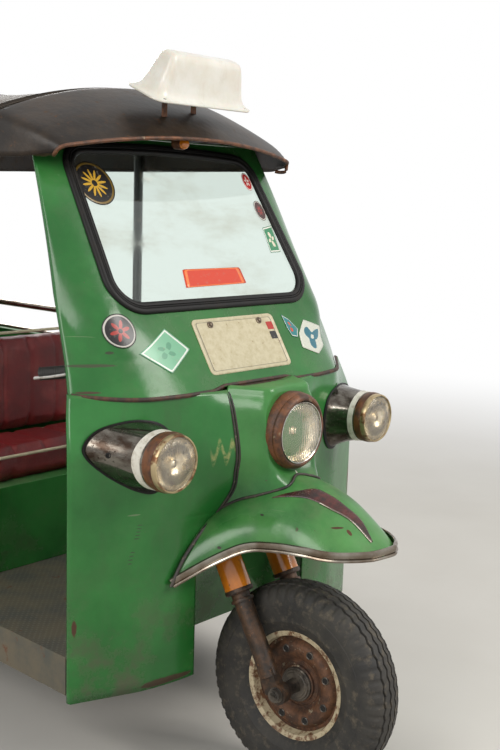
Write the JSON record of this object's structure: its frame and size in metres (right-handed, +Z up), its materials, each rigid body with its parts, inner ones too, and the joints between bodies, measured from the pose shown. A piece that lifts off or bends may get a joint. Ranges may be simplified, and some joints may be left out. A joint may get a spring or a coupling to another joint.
{
  "type": "three-wheeled auto rickshaw",
  "caption": "Three-wheeled passenger taxi with a steered front wheel, open driver and passenger spaces under a roof, and freely turning wheels.",
  "frame": {"origin": "on the ground, at the middle of the overall box", "axes": "+Z up, front of the vehicle towards -Y, its left side towards +X"},
  "size_m": [1.33, 2.9458, 1.8215],
  "materials": {
    "body_paint": "gloss, aged",
    "frame_paint": "semi-gloss",
    "floor_sheet": "worn",
    "rear_paint": "gloss, aged",
    "chrome_trim": "tarnished",
    "rusty_iron": "rusted",
    "dark_steel": "hammered",
    "orange_enamel": "gloss",
    "wheel_steel": "rusted",
    "tyre_rubber": "matt",
    "seal_rubber": "matt",
    "clear_glass": "clear",
    "lamp_glass": "fluted",
    "plate_enamel": "satin",
    "seat_vinyl": "quilted",
    "roof_vinyl": "aged",
    "sign_plastic": "aged",
    "tail_red": "gloss",
    "cast_metal": "rough",
    "rubber_pads": "matt",
    "exhaust_steel": "heat stained"
  },
  "bodies": {
    "body": {"front_mudguard": "body_paint", "front_apron": "body_paint", "nose_cowl": "body_paint", "headlamp_housing": "rusty_iron", "headlamp_lens": "lamp_glass", "mudguard_trim": "chrome_trim", "windscreen_panel": "body_paint", "windscreen_seal": "seal_rubber", "windscreen_glass": "clear_glass", "front_plate": "plate_enamel", "side_lamp_pods": "chrome_trim", "side_lamp_lenses": "lamp_glass", "chassis_frame": "frame_paint", "floor_pan": "floor_sheet", "dashboard": "frame_paint", "pedals": "rubber_pads", "driver_seat_base": "rear_paint", "driver_cushion": "seat_vinyl", "driver_backrest": "seat_vinyl", "passenger_seat_base": "rear_paint", "passenger_cushion": "seat_vinyl", "passenger_backrest": "seat_vinyl", "rear_body": "rear_paint", "tail_lamps": "tail_red", "rear_bumper": "chrome_trim", "roof_canopy": "roof_vinyl", "roof_visor": "roof_vinyl", "roof_frame": "frame_paint", "roof_sign": "sign_plastic", "side_rails": "chrome_trim", "engine_block": "cast_metal", "drive_shaft": "dark_steel", "rear_axle": "dark_steel", "leaf_springs": "dark_steel", "exhaust": "exhaust_steel"},
    "steering": {"front_fork": "dark_steel", "fork_cups": "orange_enamel", "handlebar": "chrome_trim", "front_axle": "dark_steel"},
    "front_wheel": {"front_rim": "wheel_steel", "front_tyre": "tyre_rubber"},
    "rear_left_wheel": {"rear_rim_left": "wheel_steel", "rear_tyre_left": "tyre_rubber"},
    "rear_right_wheel": {"rear_rim_right": "wheel_steel", "rear_tyre_right": "tyre_rubber"}
  },
  "joints": [
    {"name": "steering", "type": "hinge", "parent": "body", "child": "steering", "pos_m": [0, -1.17753, 0.244], "axis": [0, 0.5, 0.866], "range_deg": [-41, 29]},
    {"name": "front_wheel_spin", "type": "hinge", "parent": "steering", "child": "front_wheel", "pos_m": [0.00418, -1.21487, 0.25889], "axis": [0.9945, 0.0905, -0.0523], "continuous": true},
    {"name": "rear_left_spin", "type": "hinge", "parent": "body", "child": "rear_left_wheel", "pos_m": [0.565, 0.86494, 0.259], "axis": [1, 0, 0], "continuous": true},
    {"name": "rear_right_spin", "type": "hinge", "parent": "body", "child": "rear_right_wheel", "pos_m": [-0.565, 0.86494, 0.259], "axis": [1, 0, 0], "continuous": true}
  ]
}
